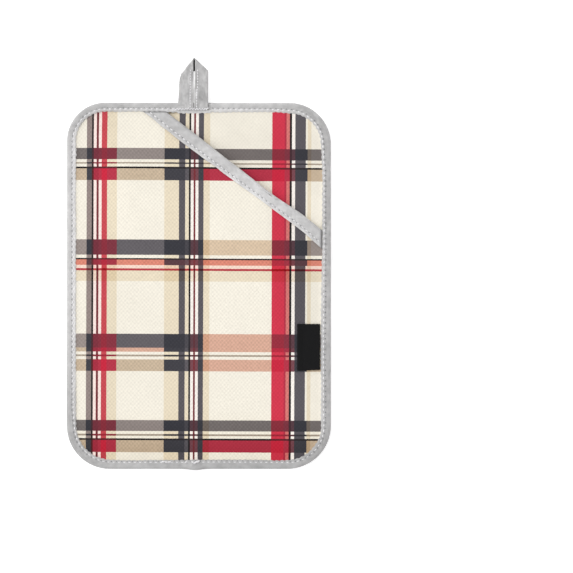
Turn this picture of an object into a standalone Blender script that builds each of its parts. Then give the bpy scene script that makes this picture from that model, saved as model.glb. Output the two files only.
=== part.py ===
"""A quilted pot holder with a hand pocket, lying on its quilted back with its plaid face up.

Metres, +Z up, +Y towards the hang loop. Shapes are worked out in the pad's own frame, whose x and y
start at the middle of the pad. One empty then moves them all, so that the origin lies on the surface
under the middle of the whole thing, loop included.
"""

import math

import bmesh
import bpy
from mathutils import Vector

MM = 0.001

# The pad, measured over its edge binding.
PAD_WIDTH = 180 * MM
PAD_LENGTH = 250 * MM
CORNER_STEPS = 8
# (at the right, at the top): the corner's radius, uneven as it was cut, anticlockwise
CORNER_RADII = {
    (True, True): 28 * MM,
    (False, True): 26 * MM,
    (False, False): 29 * MM,
    (True, False): 29.5 * MM,
}
SIDE_STEP = 10 * MM

# Cloth: one ply of panel or tape, and the room between two plies.
PLY = 1.0 * MM
GAP = 0.3 * MM

# How near two cuts of a mesh may come, in a panel and in the fine folds of the loop.
PANEL_CUT = 0.2 * MM
LOOP_CUT = 0.01 * MM
SHARP_ANGLE = math.radians(50)

# The edge binding: how far its two plies reach in from the edge, and its rounded outer fold.
BINDING_FRONT = 6.2 * MM
BINDING_MIDDLE = 4.34 * MM
BINDING_BACK = 7.0 * MM
BINDING_LOW = 0.5 * MM
FOLD_RADIUS = 2.6 * MM
PUCKER = 0.25 * MM
PUCKER_WAVES = (31, 47)

# Where the binding's two ends lap over each other, at the bottom.
LAP_X = -2.5 * MM
LAP_HALF = 8 * MM
LAP_SHOULDER = 5 * MM
LAP_OUT = 0.9 * MM
LAP_UP = 0.6 * MM

# The layers that the binding holds start this far in from the edge, and stay level under its plies.
LAYER_INSET = FOLD_RADIUS + GAP
LEVEL_RIM = BINDING_FRONT + GAP

# The quilted back: its wadding is squeezed to QUILT_EDGE in the binding, and CROWN thicker inside.
QUILT_EDGE = 1.4 * MM
CROWN = 2.0 * MM
CROWN_REACH = 24 * MM
BACK_EDGE = BINDING_LOW + PLY + GAP
RIM_START = 8 * MM
RIM_REACH = 12 * MM

# The quilting: lines at 45 degrees both ways, which cross at QUILT_CROSSING.
HALF_DIAGONAL = 25.1 * MM
QUILT_CROSSING = (-6.6 * MM, 28.2 * MM)
CHANNEL_DEPTH = 2.0 * MM
PUFF_POWER = 2.5
PUFF_FLAT = 0.72
QUILT_CUTS = (0, 0.07, 0.17, 0.31, 0.5, 0.69, 0.83, 0.93)

# The front panel's level top under the binding, and the lines that let both panels bend.
FRONT_EDGE_TOP = BACK_EDGE + QUILT_EDGE + GAP + PLY
PANEL_STEP_X = 13 * MM
PANEL_STEP_Y = 14 * MM

# The pocket's mouth slants down to the right. MOUTH_MIDDLE is on its front edge.
MOUTH_ANGLE = math.radians(37.4)
MOUTH_MIDDLE = (30.4 * MM, 78.8 * MM)
# (distance along the mouth, its tape's front edge, its tape's back edge), uneven as it was sewn
MOUTH_ROWS = (
    (-80 * MM, -0.1 * MM, -9.3 * MM),
    (-48 * MM, -0.1 * MM, -10.1 * MM),
    (-10 * MM, -0.5 * MM, -9.6 * MM),
    (25 * MM, -0.8 * MM, -8.9 * MM),
    (52 * MM, 0.7 * MM, -8.3 * MM),
    (80 * MM, 0.0 * MM, -9.8 * MM),
)
MOUTH_STEPS = 28
SLANT_ROUNDS = 4
MOUTH_UNDER = 0.8 * MM
MOUTH_MIDDLE_SHARE = 0.55
POCKET_IN_TAPE = 1.9 * MM
POCKET_STRIP = 16 * MM

# The pocket stands open: POCKET_RISE over the front panel at the mouth, and TAPE_ROOM at its ends.
POCKET_RISE = 6.0 * MM
TAPE_ROOM = 1.4 * MM
TAPE_ROOM_DEPTH = (12 * MM, 28 * MM)
RISE_SIDE_REACH = 38 * MM
RISE_DEPTH = (22 * MM, 115 * MM)
MOUTH_RAMP = 8 * MM
MOUTH_LEAD = 1 * MM
MOUTH_STATIONS = (-8 * MM, 0, 3 * MM, 7 * MM, 12 * MM, 17 * MM)

# The hang loop: one strip, folded back at both shoulders, its legs sewn over the top binding.
LEG_WIDTH = 8.8 * MM
LOOP_SLIT = 1.2 * MM
LOOP_X = -3.3 * MM
LOOP_TOP = 31.9 * MM
LOOP_SEAM = 4.3 * MM
LOOP_BEND = (PLY + GAP) / 2
LOOP_SLANT = 0.17
LOOP_SPLAY = (0.13, 0.04)
SPLAY_LENGTH = 24 * MM
LOOP_DROP = (2 * MM, 18 * MM)
LOOP_STEP = 3.5 * MM
LOOP_FIRST_STEP = 0.7
LOOP_REACH = 1.1 * LEG_WIDTH
BEND_STEPS = 5

# The woven label at the right edge of the pocket panel.
LABEL_SIZE = (15.6 * MM, 31.9 * MM)
LABEL_TOP = -26.1 * MM
LABEL_STEPS = (4, 6)

# Finishes: a colour as linear red, green and blue, then a roughness.
SILVER_SATIN = ((0.66, 0.67, 0.68), 0.4)
GREY_TAPE = ((0.50, 0.51, 0.52), 0.5)
PALE_TAPE = ((0.64, 0.66, 0.67), 0.5)
PLAID_CLOTH = ((0.90, 0.86, 0.74), 0.8)
BLACK_LABEL = ((0.013, 0.013, 0.013), 0.6)


# --- Places and heights in the pad's own frame -------------------------------------------------


def smooth(t):
    """Goes from 0 to 1 with no kink at either end."""
    t = min(max(t, 0.0), 1.0)
    return t * t * (3 - 2 * t)


def edge_distance(x, y):
    """How far a point lies inside the pad's outline."""
    radius = CORNER_RADII[x > 0, y > 0]
    over_x = abs(x) - (PAD_WIDTH / 2 - radius)
    over_y = abs(y) - (PAD_LENGTH / 2 - radius)
    return radius - math.hypot(max(over_x, 0), max(over_y, 0)) - min(max(over_x, over_y), 0)


def edge_stations(extra=()):
    """Points round the outline, anticlockwise from the top right corner, each with its outward normal.

    extra holds more points for stations, each on one of the straight sides.
    """
    corners = []
    for (right, top), radius in CORNER_RADII.items():
        across, along = PAD_WIDTH / 2 - radius, PAD_LENGTH / 2 - radius
        corners.append((across if right else -across, along if top else -along, radius))
    stations = []
    for quarter, (cx, cy, radius) in enumerate(corners):
        for i in range(CORNER_STEPS + 1):
            angle = math.radians(90) * (quarter + i / CORNER_STEPS)
            nx, ny = math.cos(angle), math.sin(angle)
            stations.append((cx + radius * nx, cy + radius * ny, nx, ny))
        x, y = stations[-1][:2]
        next_x, next_y, next_radius = corners[(quarter + 1) % len(corners)]
        dx, dy = next_x + next_radius * nx - x, next_y + next_radius * ny - y
        steps = math.ceil(math.hypot(dx, dy) / SIDE_STEP)
        shares = {i / steps for i in range(1, steps)}
        on_side = [(px, py) for px, py in extra if abs((px - x) * nx + (py - y) * ny) < GAP]
        shares |= {((px - x) * dx + (py - y) * dy) / (dx * dx + dy * dy) for px, py in on_side}
        stations += [(x + share * dx, y + share * dy, nx, ny) for share in sorted(shares) if 0 < share < 1]
    return stations


def outline(inset):
    return [(x - inset * nx, y - inset * ny) for x, y, nx, ny in edge_stations()]


def mouth_point(along, ahead):
    """The place this far along the mouth and this far ahead of its middle."""
    cos, sin = math.cos(MOUTH_ANGLE), math.sin(MOUTH_ANGLE)
    x, y = MOUTH_MIDDLE
    return x + along * cos + ahead * sin, y - along * sin + ahead * cos


def mouth_place(x, y):
    """The reverse of mouth_point."""
    cos, sin = math.cos(MOUTH_ANGLE), math.sin(MOUTH_ANGLE)
    dx, dy = x - MOUTH_MIDDLE[0], y - MOUTH_MIDDLE[1]
    return dx * cos - dy * sin, dx * sin + dy * cos


def mouth_edges(along):
    """How far ahead the tape's front and back edges run here."""
    along = min(max(along, MOUTH_ROWS[0][0]), MOUTH_ROWS[-1][0])
    for (a, front_a, back_a), (b, front_b, back_b) in zip(MOUTH_ROWS, MOUTH_ROWS[1:]):
        if along <= b:
            t = smooth((along - a) / (b - a))
            return front_a + t * (front_b - front_a), back_a + t * (back_b - back_a)


def behind_mouth(x, y):
    """How far a point lies behind the tape's front edge."""
    along, ahead = mouth_place(x, y)
    return mouth_edges(along)[0] - ahead


def slant_ends(behind, inset, share_back=0):
    """Where a line that slants with the mouth meets the top and right sides, this far in from the edge.

    It runs this far behind the front edge, plus this share of the tape's width. Each end is its
    distance along the mouth and ahead of its middle.
    """
    top, right = PAD_LENGTH / 2 - inset, PAD_WIDTH / 2 - inset
    cos, sin = math.cos(MOUTH_ANGLE), math.sin(MOUTH_ANGLE)
    start, end = MOUTH_ROWS[0][0], MOUTH_ROWS[-1][0]
    for _ in range(SLANT_ROUNDS):
        ahead_start, ahead_end = (tape_ahead(along, behind, share_back) for along in (start, end))
        start = (MOUTH_MIDDLE[1] + ahead_start * cos - top) / sin
        end = (right - MOUTH_MIDDLE[0] - ahead_end * sin) / cos
    return (start, ahead_start), (end, ahead_end)


def tape_ahead(along, behind, share_back):
    front, back = mouth_edges(along)
    return front - behind + share_back * (back - front)


def front_top(x, y):
    """The front panel's top: level under the binding, then rising to the pad's crown."""
    share = min(max((edge_distance(x, y) - LEVEL_RIM) / (CROWN_REACH - LEVEL_RIM), 0), 1)
    return FRONT_EDGE_TOP + CROWN * (1 - (1 - share) ** 2)


def pocket_bottom(x, y):
    """The pocket panel's underside."""
    behind = max(behind_mouth(x, y), 0)
    near, far = TAPE_ROOM_DEPTH
    tape_room = TAPE_ROOM * (1 - smooth((behind - near) / (far - near)))
    near, far = RISE_DEPTH
    open_share = 1 - smooth((behind - near) / (far - near))
    open_share *= smooth((edge_distance(x, y) - LEVEL_RIM) / RISE_SIDE_REACH)
    return front_top(x, y) + GAP + tape_room + (POCKET_RISE - tape_room) * open_share


def held_top(x, y):
    """The top of the layers that the edge binding holds: higher where the pocket is one of them."""
    over = smooth(1 + (behind_mouth(x, y) - POCKET_IN_TAPE + MOUTH_LEAD) / MOUTH_RAMP)
    return front_top(x, y) + over * (pocket_bottom(x, y) + PLY - front_top(x, y))


def puffiness(x, y):
    """0 on a line of quilting, 1 in the middle of a diamond."""
    product = 1.0
    for sign in (1, -1):
        lines = ((x - QUILT_CROSSING[0]) + sign * (y - QUILT_CROSSING[1])) / (2 * HALF_DIAGONAL)
        from_line = 2 * abs(lines - round(lines))
        product *= 1 - (1 - from_line) ** PUFF_POWER
    return product


def back_bottom(x, y):
    """The quilted back's underside: flat puffs, sewn channels, and a rim that the binding lifts."""
    rim = 1 - smooth((edge_distance(x, y) - RIM_START) / RIM_REACH)
    channel = CHANNEL_DEPTH * max(0, 1 - puffiness(x, y) / PUFF_FLAT)
    return rim * BACK_EDGE + (1 - rim) * channel


# --- Making and shaping solids -----------------------------------------------------------------


def slab(points):
    """A prism over this outline, from z = 0 to z = 1."""
    mesh = bmesh.new()
    bottom = mesh.faces.new([mesh.verts.new((x, y, 0)) for x, y in points])
    grown = bmesh.ops.extrude_face_region(mesh, geom=[bottom], use_keep_orig=True)
    for part in grown["geom"]:
        if isinstance(part, bmesh.types.BMVert):
            part.co.z = 1
    return mesh


def level_faces(mesh, level):
    return [face for face in mesh.faces if all(vert.co.z == level for vert in face.verts)]


def inset_rim(mesh, level, width):
    """Adds a line this far inside the rim, on the slab's face at this level."""
    bmesh.ops.inset_region(mesh, faces=level_faces(mesh, level), thickness=width, use_even_offset=True)
    for vert in mesh.verts:
        vert.co.z = round(vert.co.z)


def cut(mesh, levels, lines, where=lambda x, y: True):
    """Cuts the slab's faces at these levels along lines, each a point and a direction across it.

    where says which faces are cut, from the place of each one's middle.
    """
    for place, across in lines:
        for level in levels:
            faces = [face for face in level_faces(mesh, level) if where(*face.calc_center_median()[:2])]
            edges = {edge for face in faces for edge in face.edges}
            verts = {vert for face in faces for vert in face.verts}
            parts = [*faces, *edges, *verts]
            bmesh.ops.bisect_plane(mesh, geom=parts, dist=PANEL_CUT, plane_co=(*place, 0), plane_no=across)
            for vert in mesh.verts:
                vert.co.z = round(vert.co.z)


def set_heights(mesh, low, high):
    """Gives the slab its underside and its top, each a height for every x and y."""
    mesh.normal_update()
    bmesh.ops.triangulate(mesh, faces=mesh.faces[:])
    for vert in mesh.verts:
        height = high if vert.co.z > 0.5 else low
        vert.co.z = height(vert.co.x, vert.co.y)


def skin(sections, closed):
    """A solid through sections of equally many points. A closed one joins up, an open one is capped."""
    mesh = bmesh.new()
    loops = [[mesh.verts.new(point) for point in section] for section in sections]
    pairs = list(zip(loops, loops[1:] + loops[:1] if closed else loops[1:]))
    count = len(loops[0])
    for loop, following in pairs:
        for i in range(count):
            j = (i + 1) % count
            mesh.faces.new((loop[i], loop[j], following[j], following[i]))
    if not closed:
        mesh.faces.new(loops[0])
        mesh.faces.new(loops[-1][::-1])
    mesh.normal_update()
    bmesh.ops.triangulate(mesh, faces=mesh.faces[:])
    return mesh


def add_object(name, mesh, finish):
    """Puts the mesh in the scene as one object, with its faces out and a material of its own."""
    colour, roughness = finish
    bmesh.ops.recalc_face_normals(mesh, faces=mesh.faces[:])
    data = bpy.data.meshes.new(name)
    mesh.to_mesh(data)
    mesh.free()
    data.shade_smooth()
    data.set_sharp_from_angle(angle=SHARP_ANGLE)
    material = bpy.data.materials.new(name)
    material.use_nodes = True
    shader = material.node_tree.nodes["Principled BSDF"]
    shader.inputs["Base Color"].default_value = (*colour, 1)
    shader.inputs["Roughness"].default_value = roughness
    shader.inputs["Metallic"].default_value = 0
    data.materials.append(material)
    thing = bpy.data.objects.new(name, data)
    bpy.context.scene.collection.objects.link(thing)
    return thing


# --- The pieces --------------------------------------------------------------------------------


def panel_lines():
    """The lines along which both panels may bend."""
    columns = math.ceil(PAD_WIDTH / 2 / PANEL_STEP_X)
    rows = math.ceil(PAD_LENGTH / 2 / PANEL_STEP_Y)
    upright = [((i * PANEL_STEP_X, 0), (1, 0, 0)) for i in range(-columns, columns + 1)]
    level = [((0, i * PANEL_STEP_Y), (0, 1, 0)) for i in range(-rows, rows + 1)]
    return upright + level


def quilt_lines():
    """The quilting's own lines, and those between them that round each puff."""
    lines = []
    reach = math.ceil((PAD_WIDTH + PAD_LENGTH) / 2 / (2 * HALF_DIAGONAL)) + 1
    for sign in (1, -1):
        for number in range(-reach, reach + 1):
            for share in QUILT_CUTS:
                x = QUILT_CROSSING[0] + (number + share) * 2 * HALF_DIAGONAL
                lines.append(((x, QUILT_CROSSING[1]), (1, sign, 0)))
    return lines


def make_quilted_back():
    mesh = slab(outline(LAYER_INSET))
    inset_rim(mesh, 0, BINDING_BACK + GAP - LAYER_INSET)
    inset_rim(mesh, 1, LEVEL_RIM - LAYER_INSET)
    cut(mesh, [0], quilt_lines())
    cut(mesh, [1], panel_lines())
    set_heights(mesh, back_bottom, lambda x, y: front_top(x, y) - PLY - GAP)
    return add_object("quilted_back", mesh, SILVER_SATIN)


def make_front_panel():
    mesh = slab(outline(LAYER_INSET))
    for level in (0, 1):
        inset_rim(mesh, level, LEVEL_RIM - LAYER_INSET)
    cut(mesh, [0, 1], panel_lines())
    set_heights(mesh, lambda x, y: front_top(x, y) - PLY, front_top)
    return add_object("front_panel", mesh, PLAID_CLOTH)


def pocket_outline():
    """The layers' outline behind the mouth, closed along the pocket's own cut edge in the tape."""
    kept = [(x, y) for x, y in outline(LAYER_INSET) if behind_mouth(x, y) > 2 * POCKET_IN_TAPE]
    (start, _), (end, _) = slant_ends(POCKET_IN_TAPE, LAYER_INSET)
    slant = []
    for i in range(MOUTH_STEPS + 1):
        along = end + (start - end) * i / MOUTH_STEPS
        slant.append(mouth_point(along, tape_ahead(along, POCKET_IN_TAPE, 0)))
    return kept + slant


def mouth_lines():
    """Ribs across the mouth, and the level rim's two sides, which let the pocket follow its tape."""
    across = (math.cos(MOUTH_ANGLE), -math.sin(MOUTH_ANGLE), 0)
    (start, _), (end, _) = slant_ends(POCKET_IN_TAPE, LAYER_INSET)
    lines = []
    for i in range(MOUTH_STEPS):
        along = start + (end - start) * i / MOUTH_STEPS
        lines.append((mouth_point(along, 0), across))
    lines.append(((PAD_WIDTH / 2 - LEVEL_RIM, 0), (1, 0, 0)))
    lines.append(((0, PAD_LENGTH / 2 - LEVEL_RIM), (0, 1, 0)))
    return lines


def make_pocket_panel():
    mesh = slab(pocket_outline())
    for level in (0, 1):
        inset_rim(mesh, level, LEVEL_RIM - LAYER_INSET)
    cut(mesh, [0, 1], panel_lines())
    ahead = (math.sin(MOUTH_ANGLE), math.cos(MOUTH_ANGLE), 0)
    cut(mesh, [0, 1], [(mouth_point(0, -POCKET_STRIP), ahead)])
    cut(mesh, [0, 1], mouth_lines(), where=lambda x, y: mouth_place(x, y)[1] > -POCKET_STRIP)
    set_heights(mesh, pocket_bottom, lambda x, y: pocket_bottom(x, y) + PLY)
    return add_object("pocket_panel", mesh, PLAID_CLOTH)


def mouth_section():
    """Each line of the mouth's tape: its distance behind the front edge, its share of the tape's width
    and its height over the pocket's middle."""
    inner = PLY / 2 + GAP
    outer = inner + PLY
    halfway = MOUTH_MIDDLE_SHARE
    turns = [math.radians(angle) for angle in (90, 45, 0, -45, -90)]
    rows = [(0, 1, outer), (0, halfway, outer)]
    rows += [(outer - outer * math.cos(turn), 0, outer * math.sin(turn)) for turn in turns]
    rows += [(0, halfway, -outer), (-MOUTH_UNDER, 1, -outer)]
    rows += [(-MOUTH_UNDER, 1, -inner), (0, halfway, -inner)]
    rows += [(outer - inner * math.cos(turn), 0, inner * math.sin(turn)) for turn in turns[::-2]]
    return rows + [(0, halfway, inner), (0, 1, inner)]


def make_mouth_binding():
    """Tape folded over the pocket panel's slanting edge. Each line along it has its own two ends."""
    rows = mouth_section()
    ends = [slant_ends(behind, LEVEL_RIM, share) for behind, share, _ in rows]
    sections = []
    for i in range(MOUTH_STEPS + 1):
        points = []
        for (behind, share, rise), ((start, _), (end, _)) in zip(rows, ends):
            along = start + (end - start) * i / MOUTH_STEPS
            x, y = mouth_point(along, tape_ahead(along, behind, share))
            points.append((x, y, pocket_bottom(x, y) + PLY / 2 + rise))
        sections.append(points)
    return add_object("mouth_binding", skin(sections, closed=False), PALE_TAPE)


def binding_lap(x, y):
    """1 where the binding's ends lap, 0 away from there."""
    return smooth((LAP_HALF - abs(x - LAP_X)) / LAP_SHOULDER) if y < 0 else 0


def binding_top(x, y):
    """The top of the edge binding's front ply, as puckered by its stitching."""
    turn = math.atan2(y, x)
    pucker = sum(1 + math.sin(waves * turn) for waves in PUCKER_WAVES) / (2 * len(PUCKER_WAVES))
    return held_top(x, y) + GAP + PLY + PUCKER * pucker + LAP_UP * binding_lap(x, y)


def binding_stations():
    """Where the edge binding needs more stations: at its lap, and where it climbs over the mouth's ends."""
    lap = [LAP_X + side * (LAP_HALF - share * LAP_SHOULDER) for side in (-1, 1) for share in (0, 0.5, 1)]
    start, end = slant_ends(POCKET_IN_TAPE, 0)
    top_x, right_y = mouth_point(*start)[0], mouth_point(*end)[1]
    stations = [(x, -PAD_LENGTH / 2) for x in lap]
    stations += [(top_x + shift, PAD_LENGTH / 2) for shift in MOUTH_STATIONS]
    return stations + [(PAD_WIDTH / 2, right_y + shift) for shift in MOUTH_STATIONS]


def binding_under(x, y):
    return BINDING_LOW


def binding_section():
    """Each line of the edge's tape: its distance in from the edge, its share of the lap, the level that
    it follows and its height over that."""
    outer, inner = FOLD_RADIUS, FOLD_RADIUS - PLY
    turns = [math.radians(angle) for angle in (90, 60, 30, 0)]
    rows = [(BINDING_FRONT, 0, binding_top, 0), (BINDING_MIDDLE, 0.5, binding_top, 0)]
    for turn in turns:
        rows.append((outer - outer * math.cos(turn), 1, binding_top, outer * math.sin(turn) - outer))
    for turn in turns[::-1]:
        rows.append((outer - outer * math.cos(turn), 1, binding_under, outer - outer * math.sin(turn)))
    rows += [(BINDING_BACK, 0, binding_under, 0), (BINDING_BACK, 0, binding_under, PLY)]
    for turn in turns[::3]:
        rise = PLY + inner - inner * math.sin(turn)
        rows.append((outer - inner * math.cos(turn), 0, binding_under, rise))
    for turn in turns[::-3]:
        rows.append((outer - inner * math.cos(turn), 0, held_top, GAP + inner * math.sin(turn) - inner))
    return rows + [(BINDING_FRONT, 0, held_top, GAP)]


def make_edge_binding():
    """Tape folded round the edge of all the layers, open towards the middle of the pad."""
    rows = binding_section()
    sections = []
    for x, y, nx, ny in edge_stations(extra=binding_stations()):
        lap = binding_lap(x, y) * LAP_OUT
        points = []
        for inward, lap_share, level, rise in rows:
            held = max(inward, LAYER_INSET)
            shift = inward - lap_share * lap
            points.append((x - shift * nx, y - shift * ny, level(x - held * nx, y - held * ny) + rise))
        sections.append(points)
    return add_object("edge_binding", skin(sections, closed=True), GREY_TAPE)


def fold_point(along, across, slit):
    """Where a point of the loop's flat strip goes when the strip is folded back at both shoulders.

    The strip lies along x with its upper edge at y = 0. Its middle stays there, behind, and both ends
    turn over to the front as the legs. z is 0 on the legs and below it on the middle.
    """
    side, reach = math.copysign(1, along), abs(along) - slit / 2
    beyond, down = (reach + across) / math.sqrt(2), (reach - across) / math.sqrt(2)
    bend = math.pi * LOOP_BEND
    if beyond <= 0:
        z = -2 * LOOP_BEND
    elif beyond < bend:
        turn = beyond / LOOP_BEND
        beyond, z = LOOP_BEND * math.sin(turn), -LOOP_BEND * (1 + math.cos(turn))
    else:
        beyond, z = bend - beyond, 0
    x = slit / 2 + (down + beyond) / math.sqrt(2)
    return side * max(x, 0), (beyond - down) / math.sqrt(2), z


def cut_loop(mesh, place, across, keep_far=True):
    """Cuts the loop's sheet along a line. The far side is the one that across points to."""
    parts = [*mesh.verts, *mesh.edges, *mesh.faces]
    bmesh.ops.bisect_plane(
        mesh, geom=parts, dist=LOOP_CUT, plane_co=(*place, 0), plane_no=across, clear_outer=not keep_far
    )


def loop_strip(reach, slit):
    """The loop's flat strip, cut where it folds over at each shoulder and at steps down both legs."""
    mesh = bmesh.new()
    corners = ((-reach, 0), (-reach, -LEG_WIDTH), (reach, -LEG_WIDTH), (reach, 0))
    mesh.faces.new([mesh.verts.new((x, y, 0)) for x, y in corners])
    bend = math.pi * LOOP_BEND * math.sqrt(2)
    lines = [((0, 0), (1, 0, 0))]
    for side in (-1, 1):
        for i in range(BEND_STEPS + 1):
            lines.append(((side * (slit / 2 + i / BEND_STEPS * bend), 0), (side, 1, 0)))
        for i in range(int(reach / LOOP_STEP)):
            lines.append(((side * (LEG_WIDTH + (i + LOOP_FIRST_STEP) * LOOP_STEP), 0), (1, 0, 0)))
    for place, across in lines:
        cut_loop(mesh, place, across)
    return mesh


def make_hang_loop():
    """One strip of tape, folded at both shoulders, then bent down from the binding to the surface."""
    slit = LOOP_SLIT - math.sqrt(2) * math.pi * LOOP_BEND
    tip = PAD_LENGTH / 2 + LOOP_TOP - PLY
    seam = PAD_LENGTH / 2 - LOOP_SEAM
    rim = PAD_LENGTH / 2 - BINDING_FRONT
    on_binding = max(binding_top(LOOP_X + side * LOOP_REACH, rim) for side in (-1, 0, 1))
    high, low = on_binding + GAP + PLY / 2, PLY / 2 + 2 * LOOP_BEND
    start, end = (PAD_LENGTH / 2 + distance for distance in LOOP_DROP)
    mesh = loop_strip(tip - seam + LEG_WIDTH, slit)
    for vert in mesh.verts:
        x, y, z = fold_point(vert.co.x, vert.co.y, slit)
        y += tip + LOOP_SLANT * x
        x *= 1 + LOOP_SPLAY[x > 0] * (1 - smooth((y - seam) / SPLAY_LENGTH))
        z += high + (low - high) * smooth((y - start) / (end - start))
        vert.co = (LOOP_X + x, y, z)
    cut_loop(mesh, (0, seam), (0, -1, 0), keep_far=False)
    bmesh.ops.triangulate(mesh, faces=mesh.faces[:])
    loop = add_object("hang_loop", mesh, GREY_TAPE)
    thickness = loop.modifiers.new("Thickness", "SOLIDIFY")
    thickness.thickness = PLY
    thickness.offset = 0
    return loop


def make_label():
    right = PAD_WIDTH / 2 - LEVEL_RIM - GAP
    left, bottom = right - LABEL_SIZE[0], LABEL_TOP - LABEL_SIZE[1]
    mesh = slab(((left, bottom), (right, bottom), (right, LABEL_TOP), (left, LABEL_TOP)))
    columns, rows = LABEL_STEPS
    lines = [((left + i / columns * LABEL_SIZE[0], 0), (1, 0, 0)) for i in range(1, columns)]
    lines += [((0, bottom + i / rows * LABEL_SIZE[1]), (0, 1, 0)) for i in range(1, rows)]
    cut(mesh, [0, 1], lines)
    low = PLY + GAP
    high = low + PLY
    set_heights(mesh, lambda x, y: pocket_bottom(x, y) + low, lambda x, y: pocket_bottom(x, y) + high)
    return add_object("label", mesh, BLACK_LABEL)


def clear_scene():
    for thing in list(bpy.data.objects):
        bpy.data.objects.remove(thing, do_unlink=True)


def centre(pieces):
    """Parents the pieces to an empty, set so that the origin is under the middle of them all."""
    graph = bpy.context.evaluated_depsgraph_get()
    corners = [Vector(corner) for piece in pieces for corner in piece.evaluated_get(graph).bound_box]
    holder = bpy.data.objects.new("pot_holder", None)
    bpy.context.scene.collection.objects.link(holder)
    for piece in pieces:
        piece.parent = holder
    holder.location.y = -(min(c.y for c in corners) + max(c.y for c in corners)) / 2


def main():
    clear_scene()
    pieces = [
        make_quilted_back(),
        make_front_panel(),
        make_pocket_panel(),
        make_mouth_binding(),
        make_edge_binding(),
        make_hang_loop(),
        make_label(),
    ]
    centre(pieces)


main()
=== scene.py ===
import math

import bpy
import numpy as np
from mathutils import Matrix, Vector


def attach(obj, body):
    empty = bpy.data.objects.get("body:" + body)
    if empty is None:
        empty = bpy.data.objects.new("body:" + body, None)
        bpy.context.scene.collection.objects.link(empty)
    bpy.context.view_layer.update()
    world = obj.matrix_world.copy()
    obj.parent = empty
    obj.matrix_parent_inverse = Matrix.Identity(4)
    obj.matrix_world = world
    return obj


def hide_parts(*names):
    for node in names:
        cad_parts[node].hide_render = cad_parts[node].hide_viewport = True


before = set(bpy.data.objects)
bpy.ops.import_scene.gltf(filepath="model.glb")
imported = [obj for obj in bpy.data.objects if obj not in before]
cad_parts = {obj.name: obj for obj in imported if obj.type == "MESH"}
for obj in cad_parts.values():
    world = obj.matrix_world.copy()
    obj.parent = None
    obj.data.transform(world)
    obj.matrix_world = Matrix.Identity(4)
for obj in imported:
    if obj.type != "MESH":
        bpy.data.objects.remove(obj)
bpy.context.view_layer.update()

MM = 0.001

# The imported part's own sizes. Lengths are in mm, and shapes start from the pad's middle, which is at PAD_Y.
PAD_Y = -15.1
RIGHT, TOP = 90, 125
# The corners' radii, anticlockwise from the top right
CORNER_RADII = (28, 26, 29, 29.5)
PLY, GAP = 1.0, 0.3
BINDING_FRONT, BINDING_BACK, BINDING_LOW, FOLD_RADIUS = 6.2, 7.0, 0.5, 2.6
LAP_X, LAP_OUT, LAP_UP = -2.5, 0.9, 0.6
LAYER_INSET, LEVEL_RIM = FOLD_RADIUS + GAP, BINDING_FRONT + GAP
QUILT_EDGE, CROWN, CROWN_REACH = 1.4, 2.0, 24
BACK_EDGE = BINDING_LOW + PLY + GAP
FRONT_EDGE_TOP = BACK_EDGE + QUILT_EDGE + GAP + PLY
HALF_DIAGONAL, QUILT_CROSSING, CHANNEL_DEPTH = 25.1, (-6.6, 28.2), 2.0
MOUTH_ANGLE, MOUTH_MIDDLE = math.radians(37.4), (30.4, 78.8)
MOUTH_COS, MOUTH_SIN = math.cos(MOUTH_ANGLE), math.sin(MOUTH_ANGLE)
POCKET_RISE, TAPE_ROOM, POCKET_IN_TAPE = 6.0, 1.4, 1.9
LEG_WIDTH, LOOP_SLIT, LOOP_X, LOOP_TOP, LOOP_FOOT = 8.8, 1.2, -3.3, 31.9, TOP - 4.3

# (distance along the mouth, its tape's front edge, its tape's back edge)
MOUTH_ROWS = np.array((
    (-80, -0.1, -9.3), (-48, -0.1, -10.1), (-10, -0.5, -9.6),
    (25, -0.8, -8.9), (52, 0.7, -8.3), (80, 0.0, -9.8),
))


# --- Heights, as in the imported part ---


def smooth(t):
    """A smooth step from 0 to 1 as t goes from 0 to 1."""
    t = np.clip(t, 0, 1)
    return t * t * (3 - 2 * t)


def edge_distance(x, y):
    """How far each point is inside the pad's outline."""
    top_right, top_left, bottom_left, bottom_right = CORNER_RADII
    at_top = np.where(x > 0, top_right, top_left)
    at_bottom = np.where(x > 0, bottom_right, bottom_left)
    radius = np.where(y > 0, at_top, at_bottom)
    over_x = np.abs(x) - (RIGHT - radius)
    over_y = np.abs(y) - (TOP - radius)
    outside = np.hypot(np.maximum(over_x, 0), np.maximum(over_y, 0))
    return radius - outside - np.minimum(np.maximum(over_x, over_y), 0)


def mouth_point(along, ahead):
    """The point this far along the mouth's line and ahead of it."""
    return (MOUTH_MIDDLE[0] + along * MOUTH_COS + ahead * MOUTH_SIN,
            MOUTH_MIDDLE[1] - along * MOUTH_SIN + ahead * MOUTH_COS)


def mouth_place(x, y):
    """How far each point is along the mouth's line, and ahead of it."""
    dx, dy = x - MOUTH_MIDDLE[0], y - MOUTH_MIDDLE[1]
    return dx * MOUTH_COS - dy * MOUTH_SIN, dx * MOUTH_SIN + dy * MOUTH_COS


def mouth_edges(along):
    """How far ahead the tape's front and back edges run."""
    starts = MOUTH_ROWS[:, 0]
    along = np.clip(along, starts[0], starts[-1])
    row = np.clip(np.searchsorted(starts, along, side="right") - 1, 0, len(starts) - 2)
    t = smooth((along - starts[row]) / (starts[row + 1] - starts[row]))
    return [MOUTH_ROWS[row, k] + t * (MOUTH_ROWS[row + 1, k] - MOUTH_ROWS[row, k]) for k in (1, 2)]


def behind_mouth(x, y):
    """How far each point is behind the front edge of the mouth's tape."""
    along, ahead = mouth_place(x, y)
    return mouth_edges(along)[0] - ahead


def front_top(x, y):
    """The height of the front panel's upper side."""
    share = np.clip((edge_distance(x, y) - LEVEL_RIM) / (CROWN_REACH - LEVEL_RIM), 0, 1)
    return FRONT_EDGE_TOP + CROWN * (1 - (1 - share) ** 2)


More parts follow.
